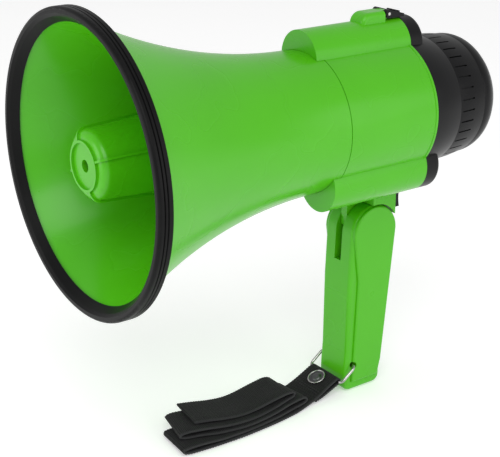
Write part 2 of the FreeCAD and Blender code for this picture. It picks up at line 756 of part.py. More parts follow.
def amplifier():
    board = box("board_blank", (-BOARD_HALF, BOARD_HALF), (LEDGE_FRONT, LEDGE_END), (0, BOARD_WALL))
    holes = [rod("board_hole_%d" % k, "Z", 1.05, 4, x, LEDGE_FRONT + 6, -1)
             for k, x in enumerate(BOARD_SCREWS)]
    node("amplifier_board", cut("board", board, holes))
    top = BOARD_WALL
    node("board_parts", group("board_parts_group", [
        rod("capacitor_1", "Z", 5, 11, -20, LEDGE_FRONT + 10, top),
        rod("capacitor_2", "Z", 5, 11, -20, LEDGE_FRONT + 23, top),
        rod("capacitor_3", "Z", 3, 8, -8, LEDGE_FRONT + 8, top),
        box("transformer", (4, 22), (LEDGE_FRONT + 4, LEDGE_FRONT + 20), (top, top + 13)),
        box("heat_sink", (-10, 24), (LEDGE_FRONT + 34, LEDGE_FRONT + 38), (top, top + 14)),
        box("amplifier_chip", (0, 14), (LEDGE_FRONT + 30, LEDGE_FRONT + 34), (top, top + 10)),
    ]))
    made = []
    for k, x in enumerate(BOARD_SCREWS):
        shank = rod("board_shank_%d" % k, "Z", 0.8, 3 + BOARD_WALL, x, LEDGE_FRONT + 6, -3)
        head = rod("board_head_%d" % k, "Z", 1.8, 1.4, x, LEDGE_FRONT + 6, BOARD_WALL)
        made.append(fuse("board_screw_%d" % k, [shank, head]))
    node("board_screws", group("board_screws_group", made))


def batteries():
    nub = size(1.5)
    names = ("top", "right", "left")
    for name, spot in zip(names, PODS):
        node("battery_cell_" + name, turned_at("cell_" + name, spot, [
            (cell_start, 0),
            (cell_start, d.cell_radius - 0.6),
            (cell_start + 0.6, d.cell_radius),
            (cell_end - nub - 0.6, d.cell_radius),
            (cell_end - nub, d.cell_radius - 0.6),
            (cell_end - nub, 3.2),
            (cell_end, 3.2),
            (cell_end, 0),
        ]))
    plates = rods("contact_plate", PODS, 8.0, pod_floor, pod_floor + contact_wall)
    node("front_contacts", group("front_contacts_group", plates))
    springs = [coil("cell_spring_%d" % k, size(4.6), size(0.55), pod_floor + contact_wall, cell_start,
                    4, *spot) for k, spot in enumerate(PODS)]
    node("cell_springs", group("cell_springs_group", springs))
    buttons = []
    for k, spot in enumerate(PODS):
        buttons.append(turned_at("contact_button_%d" % k, spot, [
            (cell_end, 0),
            (cell_end, 2.4),
            (lobe_floor - contact_wall, 5.5),
            (lobe_floor - contact_wall, 9.0),
            (lobe_floor, 9.0),
            (lobe_floor, 0),
        ]))
    node("rear_contacts", group("rear_contacts_group", buttons))


# ---------------------------------------------------------------- latch
def latch():
    pin = (d.latch_pin_along, d.latch_pin_up)
    low = pin[1] - d.latch_barrel
    blank = slab("latch_blank", d.latch_half, [
        (pin[0], low),
        (d.latch_end, low),
        (d.latch_end, low + d.latch_tail),
        (pin[0], pin[1] + d.latch_barrel),
    ], {3: (pin, True)})
    slot_half = d.tongue_half + d.move_gap
    slot_end = pin[0] + (d.hump_top - d.latch_pin_up) + d.move_gap
    slot = box("latch_slot", (-slot_half, slot_half), (d.hump_rear, slot_end), (low - 1, low + 7))
    hole = rod("latch_hole", "X", d.latch_pin_radius, 2 * d.latch_half, -d.latch_half, *pin)
    ridges = [box("latch_ridge_%d" % k, (-4, 4), (d.latch_end - 2.5 - 2 * k, d.latch_end - 1.5 - 2 * k),
                  (low + 0.4, low + d.latch_tail + 1.4 + 0.55 * k)) for k in range(2)]
    node("cover_latch", cut("latch", fuse("latch_gripped", [blank] + ridges), [slot, hole]))
    node("latch_pin", rod("latch_pin_rod", "X", d.latch_pin_radius, 2 * d.latch_half,
                          -d.latch_half, *pin))


# ---------------------------------------------------------------- rear cover and mouth shield
def rear_cover():
    corners = [
        (cover_start, d.barrel_radius),
        (d.cover_end, d.cover_end_radius),
        (d.cover_end, d.cover_end_radius - 2.4),
        (lobe_end, d.cover_end_radius - 2.0),
        (lobe_end, 0),
        (lobe_floor, 0),
        (lobe_floor, barrel_bore),
        (cover_start, barrel_bore),
    ]
    dome = turned("cover_dome", corners, {0: bow(corners[0], corners[1], 0.5)})
    bend = size(3.0)
    lobes = [turned_at("lobe_%d" % k, spot, [
        (cover_start, 0),
        (cover_start, d.pod_radius),
        (lobe_end - bend, d.pod_radius),
        (lobe_end, d.pod_radius - bend),
        (lobe_end, 0),
    ], {2: ((lobe_end - bend, d.pod_radius - bend), False)}) for k, spot in enumerate(PODS)]
    pegs = [box(name, span, (LEDGE_END + 2, lobe_floor + 1), (-4, 4))
            for name, span in (("peg_near", (35, 38)), ("peg_far", (-38, -35)))]
    outer = fuse("cover_outer", [dome] + lobes + pegs)
    bores = rods("lobe_bore", PODS, pod_bore, cover_start - 1, lobe_floor)
    room = rod("cover_room", "Y", d.cover_end_radius - 2.4, d.cover_end - lobe_end, 0, lobe_end, 0)
    node("rear_cover", cut("cover", outer, bores + [room]))


def mouth_shield():
    step = d.cover_end_radius - d.shield_step
    lip_along = d.shield_end - 1.2
    floor_rear_face = d.shield_floor + d.shield_floor_wall
    spigot = d.cover_end_radius - 2.4 - d.fit_gap
    corners = [
        (d.cover_end, step),
        (d.shield_waist, d.shield_waist_radius),
        (lip_along, d.shield_end_radius),
        (lip_along, d.shield_lip),
        (floor_rear_face, d.shield_floor_radius),
        (floor_rear_face, 0),
        (d.shield_floor, 0),
        (d.shield_floor, d.shield_floor_radius + 2.2),
        (d.shield_end - 6, d.shield_lip + 1.2),
        (d.shield_waist, d.shield_waist_radius - 2.6),
        (d.cover_end - 5, spigot - 2),
        (d.cover_end - 5, spigot),
        (d.cover_end, spigot),
    ]
    arcs = {0: bow(corners[0], corners[1], 0.6),
            1: bow(corners[1], corners[2], 1.7),
            2: bow(corners[2], corners[3], 1.15),
            3: bow(corners[3], corners[4], -1.6)}
    shell = turned("shield_shell", corners, arcs)
    groove_start = d.cover_end + 2
    groove_end = groove_start + 10
    grooves = spun("shield_grooves", 36, 0.45, [
        (groove_start, step - 0.5),
        (groove_start, step + 2),
        (groove_end, step + 2),
        (groove_end, step - 1.1),
    ])
    front = d.shield_floor - 1
    rear = floor_rear_face + 1
    mic = rod("grille_hole", "Y", d.grille_radius, rear - front, 0, front, d.mic_up)
    shaft = rod("shaft_hole", "Y", d.shaft_radius + d.move_gap, rear - front,
                d.knob_offset, front, -d.knob_drop)
    slot = box("slider_slot", (-d.knob_offset - 1.4 - d.move_gap,
                               -d.knob_offset + 1.4 + d.move_gap + d.slider_travel),
               (front, rear), (-d.knob_drop - 1.4, -d.knob_drop + 1.4))
    node("mouth_shield", cut("shield", shell, [grooves, mic, shaft, slot]))


def microphone():
    front = d.shield_floor
    radius = d.grille_radius - d.fit_gap
    disc = rod("grille_disc", "Y", radius, d.grille_wall, 0, front, d.mic_up)
    flange = rod("grille_flange", "Y", d.grille_radius + 1.2, 0.8, 0, front - 0.8, d.mic_up)
    slots = []
    for k in range(-3, 4):
        half = math.sqrt((radius.value - 1.2) ** 2 - (2.5 * k) ** 2)
        slots.append(box("grille_slot_%d" % (k + 3), (-half, half), (front - 2, front + 3),
                         (d.mic_up + 2.5 * k - 0.6, d.mic_up + 2.5 * k + 0.6)))
    node("mic_grille", cut("grille", fuse("grille_blank", [disc, flange]), slots))
    rear = front - 0.8
    node("mic_mount", cut(
        "mount", rod("mount_blank", "Y", d.capsule_radius + 2.4, d.capsule_depth, 0,
                     rear - d.capsule_depth, d.mic_up),
        [rod("mount_bore", "Y", d.capsule_radius, d.capsule_depth + 2, 0,
             rear - d.capsule_depth - 1, d.mic_up)]))
    node("mic_capsule", rod("capsule", "Y", d.capsule_radius, d.capsule_depth, 0,
                            rear - d.capsule_depth, d.mic_up))


def controls():
    board_rear = d.shield_floor - 8
    board = rod("control_blank", "Y", d.cover_end_radius - 8, 1.6, 0, board_rear - 1.6, 0)
    node("control_board", board)
    x, up = d.knob_offset, -d.knob_drop
    base = box("pot_base", (x - 6, x + 6), (board_rear, d.shield_floor - 2), (up - 6, up + 6))
    collar = rod("pot_collar", "Y", d.shaft_radius + 1, 2, x, d.shield_floor - 2, up)
    room = rod("pot_room", "Y", d.shaft_radius + d.pin_gap, 10, x, board_rear + 2, up)
    node("volume_control", cut("pot", fuse("pot_blank", [base, collar]), [room]))
    shaft_start = board_rear + 2
    knob_start = d.shield_floor + d.shield_floor_wall + d.move_gap
    knob_end = knob_start + d.knob_depth
    node("volume_shaft", rod("shaft", "Y", d.shaft_radius, knob_end - 2 - shaft_start, x, shaft_start, up))
    bend = size(1.2)
    cap = turned_at("knob_cap", (x, up), [
        (knob_start, d.shaft_radius),
        (knob_start, d.knob_radius),
        (knob_end - bend, d.knob_radius),
        (knob_end, d.knob_radius - bend),
        (knob_end, 0),
        (knob_end - 2, 0),
        (knob_end - 2, d.shaft_radius),
    ], {2: ((knob_end - bend, d.knob_radius - bend), False)})
    line = box("knob_line", (x - 0.5, x + 0.5), (knob_end - 0.7, knob_end + 1), (up + 1, up + 8))
    node("volume_knob", cut("knob", cap, [line]))
    x = -d.knob_offset
    switch_room = box("switch_room", (x - 2, x + 2 + d.slider_travel),
                      (d.shield_floor - 3.5, d.shield_floor + 1), (up - 1.2, up + 1.2))
    node("mode_switch", cut("switch", box(
        "switch_box", (x - 4, x + 4 + d.slider_travel), (board_rear, d.shield_floor - 1),
        (up - 3, up + 3)), [switch_room]))
    stem = box("slider_stem", (x - 1.4, x + 1.4), (d.shield_floor - 3, knob_start + 0.5), (up - 1, up + 1))
    button = box("slider_button", (x - d.slider_half, x + d.slider_half), (knob_start, knob_start + 2.4),
                 (up - 2.6, up + 2.6))
    node("mode_slider", fuse("slider", [stem, button]))


# ---------------------------------------------------------------- neck and talk button
block_rear = d.disc_radius - 2
pocket_front = d.pivot_along + 5.5
cap_front = d.pivot_along + block_rear + d.talk_travel + d.move_gap
stem_front = pocket_front + d.talk_travel + d.move_gap
SPRING_X = (size(4.0), size(-4.0))
SPRING_UP = -d.stem_bottom + 1.5


def handle_neck():
    py = d.pivot_along
    top = -d.barrel_radius + 5
    web = slab("web", d.web_half, [
        (py - d.web_front, top),
        (py - d.web_front, pivot_up + 4),
        (py - d.web_rear, pivot_up),
        (py + d.web_rear, pivot_up),
        (py + d.web_rear, top),
    ], {2: ((py, pivot_up), True)})
    arc = d.disc_radius + d.move_gap
    rear_drop = root(arc * arc - block_rear * block_rear)
    front_drop = root(arc * arc - d.block_front * d.block_front)
    block = slab("block", d.block_half, [
        (py - d.block_front, top),
        (py - d.block_front, pivot_up + front_drop),
        (py + block_rear, pivot_up + rear_drop),
        (py + block_rear, top),
    ], {1: ((py, pivot_up), False)})
    gap = d.move_gap
    pocket = box("stem_pocket", (-d.stem_half - gap, d.stem_half + gap), (pocket_front, py + 30),
                 (-d.stem_bottom - gap, -d.stem_top + gap))
    cavity = box("switch_cavity", (-5.2, 5.2), (py - 2, pocket_front + 3),
                 (-d.stem_top - 3.4, -d.stem_top + 3.2))
    pivot = rod("web_bore", "X", d.pivot_radius + d.pin_gap, 2 * d.block_half, -d.block_half,
                py, pivot_up)
    holes = [rod("neck_bore_%d" % k, "Z", d.small_screw, 8, 0, along, -d.barrel_radius - 4.6)
             for k, along in enumerate(NECK_SCREWS)]
    seat = rod("neck_seat", "Y", d.barrel_radius, 60, 0, py - 30, 0)
    pods = rods("neck_pod", PODS[1:], d.pod_radius, py - 30, py + 30)
    node("handle_neck", cut("neck", fuse("neck_blank", [web, block]),
                            [seat, pocket, cavity, pivot] + pods + holes))
    head_seat = root(barrel_bore * barrel_bore - d.small_head * d.small_head)
    made = []
    for k, along in enumerate(NECK_SCREWS):
        shank = rod("neck_shank_%d" % k, "Z", d.small_screw, d.barrel_radius + 4.4 - head_seat,
                    0, along, -d.barrel_radius - 4.4)
        head = rod("neck_head_%d" % k, "Z", d.small_head, d.small_head_depth, 0, along, -head_seat)
        made.append(fuse("neck_screw_%d" % k, [shank, head]))
    node("neck_screws", group("neck_screws_group", made))


def talk_button():
    cap = box("talk_cap_box", (-d.talk_half, d.talk_half), (cap_front, cap_front + d.talk_cap),
              (-d.talk_bottom, -d.talk_top))
    stem = box("talk_stem", (-d.stem_half, d.stem_half), (stem_front, cap_front),
               (-d.stem_bottom, -d.stem_top))
    bores = [rod("talk_bore_%d" % k, "Y", 1.3, 5, x, stem_front, SPRING_UP)
             for k, x in enumerate(SPRING_X)]
    dish = doc.addObject("Part::Cylinder", "talk_dish")
    bind(dish, Radius=30, Height=2 * d.talk_half + 2)
    place(dish, -d.talk_half - 1, cap_front + d.talk_cap + 29, -(d.talk_top + d.talk_bottom) / 2,
          TURNS["X"])
    node("talk_button", cut("talk", fuse("talk_blank", [cap, stem]), bores + [dish]))
    node("talk_springs", group("talk_springs_group", [
        coil("talk_spring_%d" % k, size(0.9), size(0.2), pocket_front, stem_front + 5, 8, x, SPRING_UP)
        for k, x in enumerate(SPRING_X)]))
    node("talk_switch", box("talk_switch_box", (-5, 5), (d.pivot_along - 1.6, pocket_front + 0.2),
                            (-d.stem_top - 3.2, -d.stem_top + 3)))


# ---------------------------------------------------------------- grip
def grip():
    py = d.pivot_along
    front = py - d.disc_radius
    toe = d.foot_setback - 14.2
    heel = d.foot_setback + 14.2
    bend = d.toe_radius
    corners = [
        (front, pivot_up),
        (front - 1.3, pivot_up - 30),
        (front - 1.7, foot_up + 26),
        (toe, foot_up + 11),
        (toe, foot_up + bend),
        (toe + bend, foot_up),
        (heel - bend, foot_up),
        (heel, foot_up + bend),
        (heel + 0.4, foot_up + 14),
        (py + d.disc_radius, pivot_up),
    ]
    core = slab("grip_core", d.grip_half, corners, {
        4: ((toe + bend, foot_up + bend), True),
        6: ((heel - bend, foot_up + bend), True),
        9: ((py, pivot_up), True),
    })
    side = d.grip_half.value - 0.01
    rounded("grip_round", core, 2.4, lambda e: abs(e.BoundBox.Center.x) > side
            and e.BoundBox.ZMax < pivot_up.value + 0.1)
    disc = d.disc_radius - 0.8
    panel = slab("grip_panels", GRIP_HALF, [
        (py - disc, pivot_up),
        (front + 4.8, pivot_up - 30),
        (toe + 5.6, foot_up + 24),
        (toe + 4.6, foot_up + 6),
        (heel - 3, foot_up + 6),
        (heel - 0.6, foot_up + 16),
        (py + disc, pivot_up),
    ], {6: ((py, pivot_up), True)})
    brim = GRIP_HALF.value - 0.01
    rounded("panel_round", panel, 1.2, lambda e: abs(e.BoundBox.Center.x) > brim)
    full = fuse("grip_full", [core, panel])
    inner = d.grip_half - d.grip_wall
    wall = d.grip_wall + 0.6
    hollow_top = pivot_up - d.slot_drop - 3
    hollow_foot = foot_up + 26
    hollow = slab("grip_hollow", inner, [
        (front + wall, hollow_top),
        (front + wall, hollow_foot),
        (heel - wall, hollow_foot),
        (py + d.disc_radius - wall - 3, hollow_top),
    ])
    posts = [rod("grip_post_%d" % k, "X", 3.6, 2 * GRIP_HALF, -GRIP_HALF, along, up)
             for k, (along, up) in enumerate(GRIP_SCREWS)]
    room = cut("grip_room", hollow, posts)
    slot_half = d.web_half + d.move_gap
    slot = box("grip_slot", (-slot_half, slot_half), (front - 5, py + d.web_rear + 1.5),
               (pivot_up - d.slot_drop, pivot_up + d.disc_radius + 2))
    strap_hole = rod("strap_hole_rod", "X", d.strap_hole_radius, 2 * GRIP_HALF, -GRIP_HALF, *STRAP_HOLE)
    shell = cut("grip_shell", full, [room, slot, strap_hole])
    low, high = pivot_up - 120, pivot_up + 30
    far = box("grip_far_room", (-GRIP_HALF - 1, 0), (front - 10, py + 30), (low, high))
    near = box("grip_near_room", (0, GRIP_HALF + 1), (front - 10, py + 30), (low, high))
    bolt_end = GRIP_HALF - 3
    bolt_head = size(1.8)
    bolt_bore = rod("bolt_bore", "X", d.pivot_radius, bolt_end + GRIP_HALF, -GRIP_HALF, py, pivot_up)
    bolt_seat = rod("bolt_seat", "X", d.pivot_radius + 2, bolt_head, -GRIP_HALF, py, pivot_up)
    screw_end = GRIP_HALF - 4
    seat_depth = size(3.0)
    far_tools, near_tools, made = [bolt_bore, bolt_seat], [bolt_bore], []
    for k, (along, up) in enumerate(GRIP_SCREWS):
        reach = rod("grip_screw_bore_%d" % k, "X", d.small_screw, screw_end + GRIP_HALF,
                    -GRIP_HALF, along, up)
        seat = rod("grip_screw_seat_%d" % k, "X", d.small_head + d.fit_gap, seat_depth,
                   -GRIP_HALF, along, up)
        far_tools += [reach, seat]
        near_tools.append(reach)
        start = -GRIP_HALF + seat_depth
        shank = rod("grip_shank_%d" % k, "X", d.small_screw, screw_end - start, start, along, up)
        head = rod("grip_head_%d" % k, "X", d.small_head, d.small_head_depth,
                   start - d.small_head_depth, along, up)
        made.append(fuse("grip_screw_%d" % k, [shank, head]))
    node("grip_left", cut("grip_far", common("grip_far_half", [shell, far]), far_tools))
    node("grip_right", cut("grip_near", common("grip_near_half", [shell, near]), near_tools))
    node("grip_screws", group("grip_screws_group", made))
    shank = rod("bolt_shank", "X", d.pivot_radius, bolt_end + GRIP_HALF - bolt_head,
                -GRIP_HALF + bolt_head, py, pivot_up)
    head = rod("bolt_head", "X", d.pivot_radius + 1.9, bolt_head, -GRIP_HALF, py, pivot_up)
    slot = box("bolt_slot", (-GRIP_HALF - 1, -GRIP_HALF + 1), (py - 0.6, py + 0.6),
               (pivot_up - 6, pivot_up + 6))
    node("pivot_bolt", cut("bolt", fuse("bolt_blank", [shank, head]), [slot]))


GRIP_HALF = d.grip_half + d.grip_panel
GRIP_SCREWS = ((d.pivot_along - 3, pivot_up - 32), (d.pivot_along - 5, foot_up + 34))
STRAP_HOLE = (d.foot_setback - d.strap_hole_fore, foot_up + d.strap_hole_up)


# ---------------------------------------------------------------- strap
def strap():
    hole_along, hole_up = STRAP_HOLE
    half, reach, drop = d.ring_half.value, d.ring_reach.value, d.ring_drop.value
    far, bend, wire = -math.hypot(reach, drop), 3.0, d.wire_radius.value
    up = FreeCAD.Vector(0, 0, 1)
    bits = []
    for start, end in (((half - bend, 0), (bend - half, 0)), ((half - bend, far), (bend - half, far)),
                       ((half, -bend), (half, far + bend)), ((-half, -bend), (-half, far + bend))):
        run_of = FreeCAD.Vector(end[0] - start[0], end[1] - start[1], 0)
        bits.append(Part.makeCylinder(wire, run_of.Length, FreeCAD.Vector(*start, 0), run_of))
    for x, y, angle in ((half - bend, -bend, 0), (bend - half, -bend, 90),
                        (bend - half, far + bend, 180), (half - bend, far + bend, 270)):
        corner = Part.makeTorus(bend, wire, FreeCAD.Vector(), up, 0, 360, 90)
        corner.rotate(FreeCAD.Vector(), up, angle)
        corner.translate(FreeCAD.Vector(x, y, 0))
        bits.append(corner)
    ring = doc.addObject("Part::Feature", "ring_wire")
    ring.Shape = bits[0].fuse(bits[1:]).removeSplitter()
    tilt = FreeCAD.Rotation(FreeCAD.Vector(1, 0, 0), math.degrees(math.atan2(drop, reach)))
    node("strap_ring", place(ring, 0, hole_along, hole_up, tilt))
    loop_along, loop_up = hole_along - d.ring_reach, hole_up - d.ring_drop
    loop = d.wire_radius + d.pin_gap + d.strap_wall
    join = size(146)
    tab = slab("strap_tab", d.strap_width / 2, [
        (loop_along, loop_up - loop),
        (loop_along, loop_up + loop),
        (join, foot_up + 7),
        (join - 4, foot_up + 7),
        (join - 4, foot_up),
        (join + 4, foot_up),
    ], {0: ((loop_along, loop_up), True)})
    bundle = body("strap_bundle")
    sketch = outline(bundle, "strap_bundle_outline", "XY_Plane", [
        (size(14), join),
        (size(20), size(112)),
        (size(19), size(50)),
        (size(-8), size(50)),
        (size(-19), size(58)),
        (size(-12.5), join),
    ])
    pad = bundle.newObject("PartDesign::Pad", "strap_bundle_pad")
    pad.Profile = sketch
    bind(pad, Length=size(12))
    place(bundle, 0, 0, foot_up)
    bore = rod("tab_bore", "X", d.wire_radius + d.pin_gap, d.strap_width + 2,
               -(d.strap_width / 2) - 1, loop_along, loop_up)
    node("wrist_strap", cut("strap", fuse("strap_blank", [tab, bundle]), [bore]))


# ---------------------------------------------------------------- assembly
for make in (horn_bell, rim_trim, reflector_cup, tone_arm, driver, rear_housing, amplifier,
             batteries, latch, rear_cover, mouth_shield, microphone, controls, handle_neck,
             talk_button, grip, strap):
    make()

doc.recompute()
for item in doc.Objects:
    if {"Invalid", "Error"} & set(item.State):
        raise RuntimeError("%s did not compute" % item.Name)
for label, piece in NODES:
    if piece.Shape.isNull() or not piece.Shape.isValid():
        raise RuntimeError("%s has no valid shape" % label)
os.makedirs("parts", exist_ok=True)
for label, piece in NODES:
    piece.Shape.exportStep("parts/%s.step" % label)
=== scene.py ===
"""Looks of the handheld megaphone: a bright green horn and grip, black trim and a webbing strap.

Row frame, metres: +Z up, the horn along Y with its mouth towards -Y, origin at the grip's foot.
"""
import json
import math

import bmesh
import bpy
from mathutils import Matrix, Vector


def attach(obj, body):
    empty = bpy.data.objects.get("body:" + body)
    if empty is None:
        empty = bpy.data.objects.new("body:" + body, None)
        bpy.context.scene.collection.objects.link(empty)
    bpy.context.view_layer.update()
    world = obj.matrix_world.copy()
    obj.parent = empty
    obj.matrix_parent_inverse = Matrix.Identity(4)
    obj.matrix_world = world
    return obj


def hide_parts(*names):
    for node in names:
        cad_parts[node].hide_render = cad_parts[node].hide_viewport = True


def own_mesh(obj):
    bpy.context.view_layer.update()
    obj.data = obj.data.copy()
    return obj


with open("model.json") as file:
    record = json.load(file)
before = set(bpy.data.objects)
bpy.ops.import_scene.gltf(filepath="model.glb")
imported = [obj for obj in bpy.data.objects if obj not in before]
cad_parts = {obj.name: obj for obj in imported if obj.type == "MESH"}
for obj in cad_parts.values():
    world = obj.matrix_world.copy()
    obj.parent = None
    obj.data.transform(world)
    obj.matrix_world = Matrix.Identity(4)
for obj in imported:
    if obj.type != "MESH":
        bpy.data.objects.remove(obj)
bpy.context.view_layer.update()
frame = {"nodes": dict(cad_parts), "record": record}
MM = 0.001
TAPE_WIDTH = 25 * MM
TAPE_WALL = 1.3 * MM
RIB_PITCH = 1.7 * MM
RIB_RISE = 0.16 * MM


# ---------------------------------------------------------------- materials
class Paint:
    """A node material built round one Principled shader."""

    def __init__(self, name, **values):
        self.material = bpy.data.materials.new(name)
        self.material.use_nodes = True
        self.tree = self.material.node_tree
        self.shader = self.tree.nodes["Principled BSDF"]
        for key, value in values.items():
            self.shader.inputs[key.replace("_", " ")].default_value = value

    def add(self, kind, **values):
        made = self.tree.nodes.new(kind)
        for key, value in values.items():
            if key in made.inputs:
                made.inputs[key].default_value = value
            else:
                setattr(made, key, value)
        return made

    def link(self, source, target):
        self.tree.links.new(source, target)

    def place(self):
        """Coordinates of the piece itself, in metres."""
        return self.add("ShaderNodeTexCoord").outputs["Object"]

    def noise(self, scale, detail=3.0, stretch=None):
        texture = self.add("ShaderNodeTexNoise", Scale=scale, Detail=detail)
        spot = self.place()
        if stretch:
            mapping = self.add("ShaderNodeMapping")
            mapping.inputs["Scale"].default_value = stretch
            self.link(spot, mapping.inputs["Vector"])
            spot = mapping.outputs["Vector"]
        self.link(spot, texture.inputs["Vector"])
        return texture.outputs["Fac"]

    def spread(self, value, low, high, start=0.3, end=0.7):
        """value mapped from start..end to low..high."""
        node = self.add("ShaderNodeMapRange")
        node.inputs["From Min"].default_value = start
        node.inputs["From Max"].default_value = end
        node.inputs["To Min"].default_value = low
        node.inputs["To Max"].default_value = high
        self.link(value, node.inputs["Value"])
        return node.outputs["Result"]

    def mix(self, value, first, second):
        node = self.add("ShaderNodeMix", data_type="RGBA")
        for socket, colour in ((node.inputs[6], first), (node.inputs[7], second)):
            if isinstance(colour, tuple):
                socket.default_value = colour + (1.0,)
            else:
                self.link(colour, socket)
        self.link(value, node.inputs[0])
        return node.outputs[2]

    def colour(self, source):
        self.link(source, self.shader.inputs["Base Color"])

    def roughness(self, source):
        self.link(source, self.shader.inputs["Roughness"])

    def bump(self, height, distance, strength=1.0):
        node = self.add("ShaderNodeBump", Strength=strength, Distance=distance)
        previous = self.shader.inputs["Normal"].links
        if previous:
            self.link(previous[0].from_socket, node.inputs["Normal"])
        self.link(height, node.inputs["Height"])
        self.link(node.outputs["Normal"], self.shader.inputs["Normal"])


def moulded(name, colour, rough, worn=None, grain=900.0, depth=0.00002, **values):
    """Moulded plastic: slow colour drift, uneven gloss, surface grain and, where worn, faint scuffs."""
    paint = Paint(name, **values)
    drift = paint.spread(paint.noise(14.0), 0.0, 1.0)
    deep = tuple(c * 0.92 for c in colour)
    base = paint.mix(drift, deep, colour)
    if worn:
        scuff = paint.spread(paint.noise(160.0, 4.0, (1.0, 0.2, 1.0)), 0.0, 0.3, 0.62, 0.8)
        base = paint.mix(scuff, base, worn)
    paint.colour(base)
    paint.roughness(paint.spread(paint.noise(25.0, 2.0), rough - 0.03, rough + 0.04))
    paint.bump(paint.noise(grain, 2.0), depth)
    return paint.material


def metal(name, colour, rough, stretch=(1.0, 1.0, 1.0)):
    """Plated or brushed metal with fine streaks and a little staining."""
    paint = Paint(name, Metallic=1.0)
    dull = tuple(c * 0.72 for c in colour)
    paint.colour(paint.mix(paint.spread(paint.noise(180.0, 4.0), 0.0, 1.0), dull, colour))
    paint.roughness(paint.spread(paint.noise(700.0, 3.0, stretch), rough - 0.07, rough + 0.1))
    paint.bump(paint.noise(1500.0, 2.0, stretch), 0.00001)
    return paint.material


def webbing(name):
    """Woven polyester tape: ribs across it, yarns along it, from the ribbon's own UVs in metres. The
    weave's hollows carry painted shade, its crests painted light, and both edges a painted highlight.
    """
    paint = Paint(name, Roughness=0.9, Specular_IOR_Level=0.25, Sheen_Weight=0.05,
                  Sheen_Roughness=0.5)
    uv = paint.add("ShaderNodeUVMap", uv_map="tape").outputs["UV"]
    ribs = paint.add("ShaderNodeTexWave", wave_type="BANDS", bands_direction="Y", Scale=330.0,
                     Distortion=0.6, Detail=1.0)
    ribs.inputs["Detail Scale"].default_value = 2.0
    yarns = paint.add("ShaderNodeTexWave", wave_type="BANDS", bands_direction="X", Scale=480.0,
                      Distortion=0.4)
    paint.link(uv, ribs.inputs["Vector"])
    paint.link(uv, yarns.inputs["Vector"])
    weave = paint.add("ShaderNodeMath", operation="MULTIPLY")
    paint.link(ribs.outputs["Fac"], weave.inputs[0])
    paint.link(yarns.outputs["Fac"], weave.inputs[1])
    # Painted shade in the weave's hollows and painted light on its crests: the colour follows the same
    # weave relief that drives the bump.
    weave_light_and_shade = paint.mix(weave.outputs["Value"], (0.003, 0.003, 0.0035), (0.017, 0.017, 0.018))
    across = paint.add("ShaderNodeSeparateXYZ")
    paint.link(uv, across.inputs[0])
    centred = paint.add("ShaderNodeMath", operation="SUBTRACT")
    paint.link(across.outputs["X"], centred.inputs[0])
    centred.inputs[1].default_value = TAPE_WIDTH / 2
    apart = paint.add("ShaderNodeMath", operation="ABSOLUTE")
    paint.link(centred.outputs["Value"], apart.inputs[0])
    # Both long edges of the tape are painted lighter: a painted highlight where light catches the
    # rounded edges.
    edge_highlight_mask = paint.spread(apart.outputs["Value"], 0.0, 1.0, 0.44 * TAPE_WIDTH, 0.5 * TAPE_WIDTH)
    weave_light_and_shade = paint.mix(edge_highlight_mask, weave_light_and_shade, (0.032, 0.032, 0.034))
    lint = paint.spread(paint.noise(2600.0, 4.0), 0.0, 0.6, 0.6, 0.78)
    paint.colour(paint.mix(lint, weave_light_and_shade, (0.035, 0.035, 0.037)))
    paint.bump(weave.outputs["Value"], 0.00035)
    paint.bump(paint.noise(3000.0, 2.0), 0.00008, 0.6)
    return paint.material


GREEN = (0.074, 0.455, 0.004)
LOOKS = {
    "green_shell": moulded("green_shell_gloss", GREEN, 0.27, grain=30.0, depth=0.00001,
                           Specular_IOR_Level=0.34, Coat_Weight=0.08, Coat_Roughness=0.12),
    "green_grip": moulded("green_grip_gloss", GREEN, 0.29, grain=30.0, depth=0.00001,
                          Specular_IOR_Level=0.34, Coat_Weight=0.08, Coat_Roughness=0.15),
    "black_rubber": moulded("rubber_trim", (0.0028, 0.0028, 0.003), 0.4, (0.012, 0.012, 0.012),
                            1500.0, 0.00001, Specular_IOR_Level=0.14),
    "black_shell": moulded("black_moulding", (0.0035, 0.0035, 0.004), 0.3, (0.012, 0.012, 0.013),
                           1500.0, 0.00001, Specular_IOR_Level=0.2),
    "black_soft": moulded("black_shield", (0.003, 0.003, 0.0035), 0.3, (0.011, 0.011, 0.012),
                          1500.0, 0.00001, Specular_IOR_Level=0.17),
    "steel_screw": metal("zinc_screw", (0.58, 0.57, 0.55), 0.32),
    "ring_steel": metal("nickel_ring", (0.5, 0.49, 0.48), 0.18),
    "magnet_ferrite": moulded("ferrite", (0.035, 0.034, 0.034), 0.7, (0.09, 0.09, 0.09), 700.0),
    "plate_steel": metal("yellow_zinc", (0.62, 0.52, 0.3), 0.3, (1.0, 20.0, 1.0)),
    "cell_case": metal("cell_sleeve", (0.55, 0.57, 0.62), 0.33, (1.0, 0.05, 1.0)),
    "diaphragm_film": moulded("phenolic_film", (0.42, 0.24, 0.08), 0.45, (0.5, 0.32, 0.14), 1200.0),
    "coil_copper": metal("enamelled_wire", (0.55, 0.22, 0.08), 0.28, (1.0, 60.0, 1.0)),
    "board": moulded("glass_board", (0.01, 0.11, 0.03), 0.35, (0.06, 0.2, 0.08), 1600.0),
    "board_part": moulded("board_part_black", (0.02, 0.02, 0.024), 0.45, (0.07, 0.07, 0.07), 1200.0),
    "contact_steel": metal("nickel_contact", (0.66, 0.63, 0.58), 0.25),
    "grille_mesh": metal("dark_grille", (0.12, 0.12, 0.125), 0.4),
    "webbing": webbing("woven_tape"),
}


def dress(piece, slot):
    """Give a piece one material."""
    piece.data.materials.clear()
    piece.data.materials.append(LOOKS[slot])


slots = {entry["node"]: entry["material_slot"] for entry in frame["record"]["subparts"]}
for node, piece in frame["nodes"].items():
    dress(piece, slots[node])


